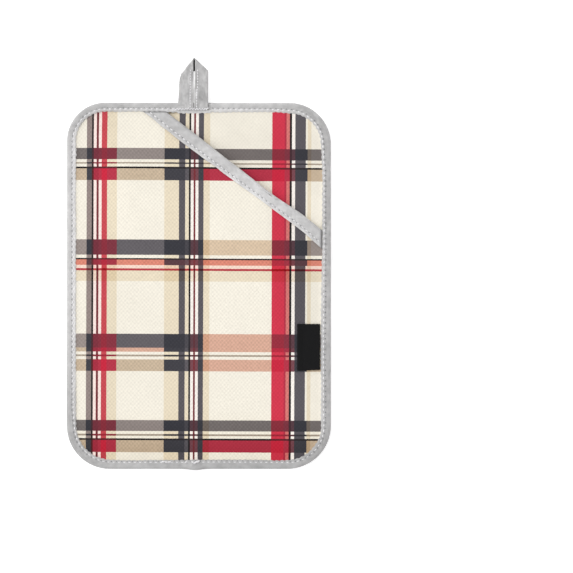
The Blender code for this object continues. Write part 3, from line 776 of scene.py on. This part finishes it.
    stitch_width = 1.1 + (0.5 * ny - 0.15 * corner * (nx > 0)) * (ny < 0)
    # The needle holes are dark threads sunk in the tape: painted shade in the holes, wider to the right and
    # narrower at the top
    hole_width = 0.85 + 0.2 * nx - 0.25 * ny * (ny > 0)
    front = sewn("edge_stitches", between, seam, 0.10, 2.6, stitch_width, white, 1)
    holes = sewn("edge_needle_holes", under_holes, holes_in, 0.12, 1.1, hole_width, dark, 2)

    back_spot = np.stack([x - BACK_SEAM * nx, y - BACK_SEAM * ny, BINDING_LOW + 0.12 + 0 * x], -1)[between]
    behind = stitches("edge_stitches_behind", back_spot, run[between], 2.7, 0.7, dark, 3, -1)

    across, inset, turned = np.array(LAP_STITCHES).T
    turned = np.radians(turned)
    lap_y = inset - TOP
    lap_z = held_top(across, lap_y) + GAP + PLY + LAP_UP * binding_lap(across, lap_y) - 0.15
    lap_spot = np.stack([across, lap_y, lap_z], -1)
    lines = np.stack([np.cos(turned), np.sin(turned), 0 * turned], -1)
    ends = stitches("lap_stitches", lap_spot, lines, 2.5, 1.3, white, 4)
    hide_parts("edge_binding")


# --- The mouth's tape ---

# Where the tape's stitches run, as a share of its width, and how far its ends go under the edge binding
MOUTH_SEAM, MOUTH_TUCK = 0.76, 0.8
# Its front ply behind the seam: the share of its width, how far it sinks, its ruffle and its painted light
# and shade, lightest along its cut edge
MOUTH_PROFILE = (
    (1, 0.85, 0, 1.08), (1.015, 0.6, 0, 1.12), (0.99, 0.35, 0.03, 1.12), (0.94, 0.15, 0.04, 1.1),
    (0.88, 0.05, 0.06, 1.05), (0.82, 0, 0.08, 1), (MOUTH_SEAM, 0, 0.08, 0.95),
)
# Painted light and shade along the tape, from its upper end to its lower end, darkest where its ends tuck
# under the edge binding
MOUTH_TAPE_PAINTED_LIGHT = np.array((
    (0, 0.30), (0.006, 0.40), (0.015, 0.74), (0.2, 0.78), (0.4, 0.88), (0.55, 1.0), (0.8, 1.0),
    (0.9, 0.95), (0.985, 0.88), (0.993, 0.50), (1, 0.40),
))


def slant_ends(behind, share_back):
    """Where a line along the tape meets the level rim at the top and at the right."""
    top, right = TOP - LEVEL_RIM + MOUTH_TUCK, RIGHT - LEVEL_RIM + MOUTH_TUCK
    start, end = MOUTH_ROWS[0][0], MOUTH_ROWS[-1][0]
    for _ in range(5):
        start = (MOUTH_MIDDLE[1] + tape_ahead(start, behind, share_back) * MOUTH_COS - top) / MOUTH_SIN
        end = (right - MOUTH_MIDDLE[0] - tape_ahead(end, behind, share_back) * MOUTH_SIN) / MOUTH_COS
    return start, end


def tape_ahead(along, behind, share_back):
    """How far ahead a line this far behind the front edge runs, or this share of the way to the back edge."""
    front, back = mouth_edges(along)
    return front - behind + share_back * (back - front)


def make_mouth_binding(material, white, dark):
    inner, outer = PLY / 2 + GAP, PLY * 1.5 + GAP
    t = np.linspace(0, 1, 230)
    tucked = smooth(1 - t / 0.009) + smooth(1 - (1 - t) / 0.009)
    rows, tones = [], []

    def row(behind, share, rise, ruffle=0.0, tone=1.0):
        start, end = slant_ends(behind, share)
        along = start + (end - start) * t
        x, y = mouth_point(along, tape_ahead(along, behind, share))
        height = pocket_bottom(x, y) + PLY / 2 + rise - tucked * max(rise - PLY / 2 - 0.15, 0)
        if ruffle:
            from_seam = share - MOUTH_SEAM
            pucker = np.cos(2 * math.pi * along / STITCH_PITCH)
            height = height - 0.30 * hump(from_seam, 0.1) + 0.10 * pucker * hump(from_seam, 0.18)
            slanting = wobble(along + 7 * share, 5.5, 21)
            slanting = slanting + 0.6 * wobble(along - 4 * share, 2.7, 22)
            height = height + ruffle * slanting
        rows.append(np.stack([x, y, height], -1))
        # Its tone: the profile's painted light and shade with random streaks, times the painted light and
        # shade along the tape
        streaks = 0.06 * wobble(along + 9 * share, 3.1, 26)
        streaks = streaks + 0.04 * wobble(along - 5 * share, 1.6, 27)
        tones.append((tone + streaks) * np.interp(t, *MOUTH_TAPE_PAINTED_LIGHT.T))

    # The front ply, from its cut edge to the fold
    back_wave = 0.02 * wobble(t, 0.05, 25)
    for share, sink, ruffle, tone in MOUTH_PROFILE:
        row(0, share + back_wave * (share > 0.95), outer - sink, ruffle, tone)
    for share in (0.7, 0.64, 0.58, 0.5, 0.42, 0.34, 0.26, 0.2):
        row(0, share, outer, 0.12)
    for cos, sin in turns(85, 60, 35, 10, -15, -40, -65, -90):
        row(outer - outer * cos, 0, outer * sin, 0.05)
    # The back ply, and the inner side
    row(0, 0.3, -outer)
    row(0, 0.6, -outer)
    row(-0.8, 1, -outer + 0.2)
    row(-0.8, 1, -inner - 0.2)
    row(0, 0.55, -inner)
    for cos, sin in turns(-90, 0, 90):
        row(outer - inner * cos, 0, inner * sin)
    row(0, 0.55, inner)
    binding = add_object("mouth_tape", *tube(np.stack(rows, 1), closed=False), material, np.stack(tones, 1))

    start, end = slant_ends(0, MOUTH_SEAM)
    number = int((end - start) / STITCH_PITCH)
    spots = math.ceil(start / STITCH_PITCH) * STITCH_PITCH + np.arange(number) * STITCH_PITCH
    # The needle holes are dark threads sunk in the tape: painted shade in the holes
    for name, shift, length, width, sink, look in (
        ("mouth_stitches", 0.5, 2.5, 0.9, 0.30, white), ("mouth_needle_holes", 0.0, 0.9, 0.8, 0.20, dark),
    ):
        along = spots + shift * STITCH_PITCH
        x, y = mouth_point(along, tape_ahead(along, 0, MOUTH_SEAM))
        z = pocket_bottom(x, y) + PLY / 2 + outer - sink
        slope = pocket_bottom(x + MOUTH_COS, y - MOUTH_SIN) - pocket_bottom(x, y)
        line = np.stack([MOUTH_COS + 0 * x, -MOUTH_SIN + 0 * x, slope], -1)
        stitches(name, np.stack([x, y, z], -1), line, length, width, look, 31)
    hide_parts("mouth_binding")


# --- The hang loop ---

LOOP_BEND = (PLY + GAP) / 2
# How much the left and the right leg lean back, spread at the foot and close the slit
LEG_LEAN, LEG_SPREAD, LEG_CLOSING = (0.17, 0.05), (0.13, 0.04), (0.3, 0.6)


def by_leg(x, left, right):
    """One value on the left leg, another on the right one."""
    return np.where(x > 0, right, left)


def fold_point(along, across, slit):
    """The tape's point this far from the tip's middle, along and across the tape, once it is folded."""
    side, reach = np.sign(along), np.abs(along) - slit / 2
    beyond, down = (reach + across) / math.sqrt(2), (reach - across) / math.sqrt(2)
    bend = math.pi * LOOP_BEND
    turn = np.clip(beyond / LOOP_BEND, 0, math.pi)
    z = np.where(beyond < bend, -LOOP_BEND * (1 + np.cos(turn)), 0)
    beyond = np.where(beyond <= 0, beyond, np.where(beyond < bend, LOOP_BEND * np.sin(turn), bend - beyond))
    x = slit / 2 + (down + beyond) / math.sqrt(2)
    return side * np.maximum(x, 0), (beyond - down) / math.sqrt(2), z


def loop_levels():
    """The heights of the loop's middle on the binding and beyond it."""
    rim_y = TOP - BINDING_FRONT
    spots = np.array([LOOP_X + side * 1.1 * LEG_WIDTH for side in (-1, 0, 1)])
    on_binding = held_top(spots, rim_y).max() + GAP + PLY + 0.2
    return on_binding + GAP + PLY / 2, PLY / 2 + 2 * LOOP_BEND


def loop_drop(y):
    """The height of the loop's middle."""
    high, low = loop_levels()
    return high + (low - high) * smooth((y - TOP - 2) / 16)


def loop_end(y):
    """How far the loop's cut end dips into the binding's sewing."""
    return 0.8 * smooth(LOOP_FOOT + 1.1 - y)


def loop_tone(x, y, front):
    """The loop's painted light and shade, over its own streaks and mottles."""
    right = x > 0
    streaks = wobble(0.91 * x + 0.41 * y, 2.6, 45) * by_leg(x, 0.07, 0.14)
    mottles = 0.14 * wobble2(x * 1.6, y, 1.3, 46) + 0.05 * wobble2(x, y, 3.5, 48)
    # Painted shade over the right leg, less at its foot, and painted light towards the foot
    lit_foot = 1.2 * smooth((142 - y) / 8) * smooth((x - 4) / 3)
    tone = 1 + streaks + mottles - 0.10 * right * (1 - lit_foot)
    tone = tone + 0.08 * smooth((LOOP_FOOT + 7 - y) / 3)
    # Painted shade on the right leg's outer edge, and painted light and shade on the two sides of its
    # slanting crease
    tone = tone - 0.08 * right * smooth((x - 8.4) / 0.6) * smooth((150 - y) / 4)
    crease = 0.917 * x - 0.40 * y + 50.9
    tone = tone + right * (0.12 * hump(crease, 1.5) - 0.10 * hump(crease - 3.6, 1.7))
    # The crumpled foot's random mottles, a darker patch on the left leg, and painted shadow between the legs,
    # where the back layer shows through the slit
    tone = tone + 0.10 * smooth((TOP - y) / 2) * wobble2(x, y, 0.9, 49)
    tone = tone - 0.13 * hump(x + 5.5, 2.2) * hump(y - 130.5, 2.0)
    return np.where(~front & (np.abs(x) < 1.7), 0.05, tone)


def make_hang_loop(material, white):
    slit = LOOP_SLIT - math.sqrt(2) * math.pi * LOOP_BEND
    tip = TOP + LOOP_TOP - PLY
    reach = tip - LOOP_FOOT + LEG_WIDTH
    columns, rows = 2 * round(reach / 0.5) + 1, 19
    ways, widths = np.linspace(-reach, reach, columns), np.linspace(0, -LEG_WIDTH, rows)
    x, y, z = fold_point(*np.meshgrid(ways, widths, indexing="ij"), slit)
    front = z > -LOOP_BEND
    z = z - front * 0.16 * hump(np.abs(x) - LOOP_SLIT / 2 - 1.6, 0.45)
    creases = wobble2(x, y, 2.2, 41) + wobble2(x * 0.5, y, 5, 42)
    z = z + np.where(front, 0.10, 0.04) * creases
    y = y + tip + by_leg(x, *LEG_LEAN) * x
    foot = 1 - smooth((y - LOOP_FOOT) / 24)
    x = x * (1 + by_leg(x, *LEG_SPREAD) * foot)
    closed = smooth((TOP + 12.5 - y) / 4)
    x = np.sign(x) * np.maximum(np.abs(x) - closed * by_leg(x, *LEG_CLOSING), 0)
    side = smooth((np.abs(x) - 4) / 3)
    wider = 0.8 * smooth((146 - y) / 6) - 0.5 * hump(y - 146.5, 2.2)
    x = x + side * by_leg(x, -wider, 0.45 * closed)
    y = np.maximum(y, LOOP_FOOT + 0.15 * wobble(x, 1.5, 43))
    z = z + loop_drop(y) - loop_end(y) - 0.3 * foot * smooth((x - 6) / 2.5)
    sheet = np.stack([LOOP_X + x, y, z], -1)
    quads = grid_quads(columns, rows)[:, (0, 3, 2, 1)]
    loop = add_object("loop_tape", sheet, quads.tolist(), material, loop_tone(x, y, front))
    thicken(loop, 0.8)

    made = []
    for name, length, low_x, high_x in (
        ("loop_stitches_left", 7, -2.6, -2.6), ("loop_stitches_right", 8, 1.75, 2.4),
    ):
        ys = np.arange(LOOP_FOOT + 2, tip - length, 1.9)
        xs = LOOP_X + (low_x + (high_x - low_x) * smooth((ys - LOOP_FOOT - 10) / 8))
        zs = loop_drop(ys) + 0.34
        lines = np.stack([0 * ys, 1 + 0 * ys, loop_drop(ys + 1) - loop_drop(ys)], -1)
        spots = np.stack([xs, ys, zs], -1)
        made.append(stitches(name, spots, lines, 1.8, 0.7, white, 50 + len(made)))
    xs = np.arange(-12.4, 10.0, 0.95) + LOOP_X
    zigzag = np.arange(len(xs)) % 2 - 0.5
    ys = TOP - 4.2 + zigzag * 0.7 + 0.3 * wobble(xs, 2, 44)
    over_leg = np.abs(xs - LOOP_X + 0.4) < 10.4
    on_leg, beside = loop_drop(ys) + 0.40 - 0.8 * loop_end(ys), held_top(xs, ys) + GAP + PLY - 0.1
    spots = np.stack([xs, ys, np.where(over_leg, on_leg, beside)], -1)
    lines = np.stack([np.ones(len(xs)), zigzag * 1.1 + 0.3 * wobble(xs, 1.5, 47), 0 * xs], -1)
    made.append(stitches("loop_bar_tack", spots, lines, 1.9, 1.0, white, 53))
    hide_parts("hang_loop")


# --- The label ---


def make_label(material):
    right = RIGHT - LEVEL_RIM - GAP - 0.4
    left, top, bottom = right - 15.6, -26.1, -58.0
    columns, rows = 27, 55
    u, v = np.meshgrid(np.linspace(0, 1, columns), np.linspace(0, 1, rows), indexing="ij")
    x, y = left + u * (right - left), bottom + v * (top - bottom) + 0.5 * u * (1 - v)
    lift = 0.7 * (1 - smooth(u / 0.3))
    height = pocket_bottom(x, y) + PLY + 0.35 + lift + 0.1 * wobble2(x, y, 6, 61)
    sheet = np.stack([x, y, height + 0.3], -1)
    label = add_object("label_tab", sheet, grid_quads(columns, rows).tolist(), material)
    thicken(label, 0.6)
    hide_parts("label")


# --- The quilted back ---


def quilt_lines(x, y):
    """How far each point is from the nearest line of quilting and how far along it, for both its ways."""
    step = HALF_DIAGONAL * math.sqrt(2)
    both = []
    for sign in (1, -1):
        dx, dy = x - QUILT_CROSSING[0], sign * (y - QUILT_CROSSING[1])
        across = (dx + dy) / math.sqrt(2)
        both.append((np.abs(across - np.round(across / step) * step), (dx - dy) / math.sqrt(2)))
    return both


def quilt_bottom(x, y):
    """The height of the back's underside: puffed diamonds with gathers, and a level rim."""
    inward = edge_distance(x, y)
    rim_share = 1 - smooth((inward - 8) / 12)
    puff, gathers = 1.0, 0.12 * wobble2(x, y, 3, 71)
    for seed, (across, along) in enumerate(quilt_lines(x, y), start=72):
        puff = puff * (1 - np.exp(-(across / 4.2) ** 1.15))
        slanting = wobble(along + 0.4 * across, 2.8, seed)
        gathers = gathers + 0.45 * hump(across - 1.5, 3.5) * slanting
    pulls = wobble(x, 4, 75) * (np.abs(y) > 0.9 * np.abs(x) + 40.01) + wobble(y, 4, 76)
    gathers = gathers + 0.35 * pulls * hump(inward - 8, 7)
    height = np.maximum(CHANNEL_DEPTH * (1 - puff) + gathers - 0.12, 0.06)
    return rim_share * (BACK_EDGE + 0.35 * gathers) + (1 - rim_share) * height


def make_quilted_back(material, silver):
    points, faces = grid_sheet(in_binding, quilt_bottom, lambda x, y: front_top(x, y) - PLY - GAP, 1.4)
    back = add_object("quilted_satin", points, faces, material)
    spots, runs = [], []
    for sign in (1, -1):
        direction = np.array((1, -sign)) / math.sqrt(2)
        for number in range(-9, 10):
            start = np.array((QUILT_CROSSING[0] + number * 2 * HALF_DIAGONAL, QUILT_CROSSING[1]))
            line = start + direction * np.arange(-300, 300, 3)[:, None]
            line = line[edge_distance(line[:, 0], line[:, 1]) > BINDING_BACK + 2]
            spots.append(line)
            runs.append(np.tile((*direction, 0.0), (len(line), 1)))
    spots, runs = np.concatenate(spots), np.concatenate(runs)
    spots = np.column_stack([spots, quilt_bottom(spots[:, 0], spots[:, 1]) + 0.05])
    # The quilting thread is darker than the satin: grey thread, partly painted with the shade of its stitch
    # holes
    sewn = stitches("quilting_stitches", spots, runs, 2.2, 0.8, silver, 77, -1)
    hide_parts("quilted_back")


# --- Floor, light and camera ---

# What the picture shows across, at the pad's height, and how far the camera stands to the side
FRAME_WIDTH, PAD_HEIGHT, CAMERA_SHIFT = 573 * 0.684, 7, (59.9, -0.5)
# These and the lamps' places and size are in metres
CAMERA_HEIGHT, FLOOR_HALF, FLOOR_GLOW = 3.0, 2.5, 0.5
# Where the pale surroundings are brightest, and their strength on the far side and there
SKY_SIDE, SKY_STRENGTHS = (-0.85, 0.25, 0), (0.12, 1.48)
# Each lamp's place and power
LAMPS, LAMP_SIZE = {"key": ((-1.8, 1.4, 3.0), 56.0), "fill": ((2.0, -1.2, 3.0), 4.0)}, 2.8


def make_floor():
    nodes = cloth("pale_floor", 0.9, 0.1, Emission_Color=(1, 1, 1, 1), Emission_Strength=FLOOR_GLOW)
    nodes.colour(nodes.mix(nodes.noise(8), linear("F2F2F2"), linear("F5F5F5")))
    data = bpy.data.meshes.new("floor")
    corners = [(x * FLOOR_HALF, y * FLOOR_HALF, 0) for x, y in ((-1, -1), (1, -1), (1, 1), (-1, 1))]
    data.from_pydata(corners, [], [(0, 1, 2, 3)])
    data.materials.append(nodes.owner)
    show("floor", data)


def make_lights():
    world = bpy.data.worlds.new("studio")
    nodes = Nodes(world, "Background", "Generated", Color=(1, 1, 1, 1))
    side = nodes.add("ShaderNodeVectorMath", operation="DOT_PRODUCT")
    nodes.feed(side.inputs[0], nodes.place)
    nodes.feed(side.inputs[1], SKY_SIDE)
    nodes.feed(nodes.inputs["Strength"], nodes.span(side.outputs["Value"], -1, 1, *SKY_STRENGTHS))
    bpy.context.scene.world = world
    for name, (place, power) in LAMPS.items():
        lamp = bpy.data.lights.new(name, "AREA")
        lamp.shape, lamp.size, lamp.energy = "DISK", LAMP_SIZE, power
        thing = show(name, lamp)
        thing.location = place
        thing.rotation_euler = (-Vector(place)).to_track_quat("-Z", "Y").to_euler()


def make_camera():
    camera = bpy.data.cameras.new("camera")
    camera.sensor_width = 36
    camera.lens = camera.sensor_width * (CAMERA_HEIGHT - PAD_HEIGHT * MM) / (FRAME_WIDTH * MM)
    camera.clip_start, camera.clip_end = 0.01, 20
    thing = show("camera", camera)
    thing.location = (CAMERA_SHIFT[0] * MM, (PAD_Y + CAMERA_SHIFT[1]) * MM, CAMERA_HEIGHT)
    bpy.context.scene.camera = thing
    bpy.context.scene.view_settings.view_transform = "Standard"


def main():
    white, dark = thread("pale_thread", "F2F1F3"), thread("needle_holes", "8E8F92", 0.9)
    make_front_panel(plaid("front_plaid", 0.6, 1.09))
    make_pocket_panel(plaid("pocket_plaid", 1.0, 1))
    # The edge, the mouth and the loop are bound with one grey tape, in three lit and shaded copies: the
    # mouth's painted lighter, the loop's painted darker
    make_edge_binding(tape("edge_tape", "C0BFBF"), white, dark)
    make_mouth_binding(tape("mouth_tape", "DAD9D9"), white, thread("mouth_holes", "A9AAAD", 0.9))
    make_hang_loop(tape("loop_tape", "B9B8B8", (2.5, 0.4, 1)), white)
    make_label(label_cloth("black_label", "1A1A1B"))
    make_quilted_back(satin("silver_satin", "DCDDDE"), thread("silver_thread", "9C9EA2"))
    make_floor()
    make_lights()
    make_camera()


main()
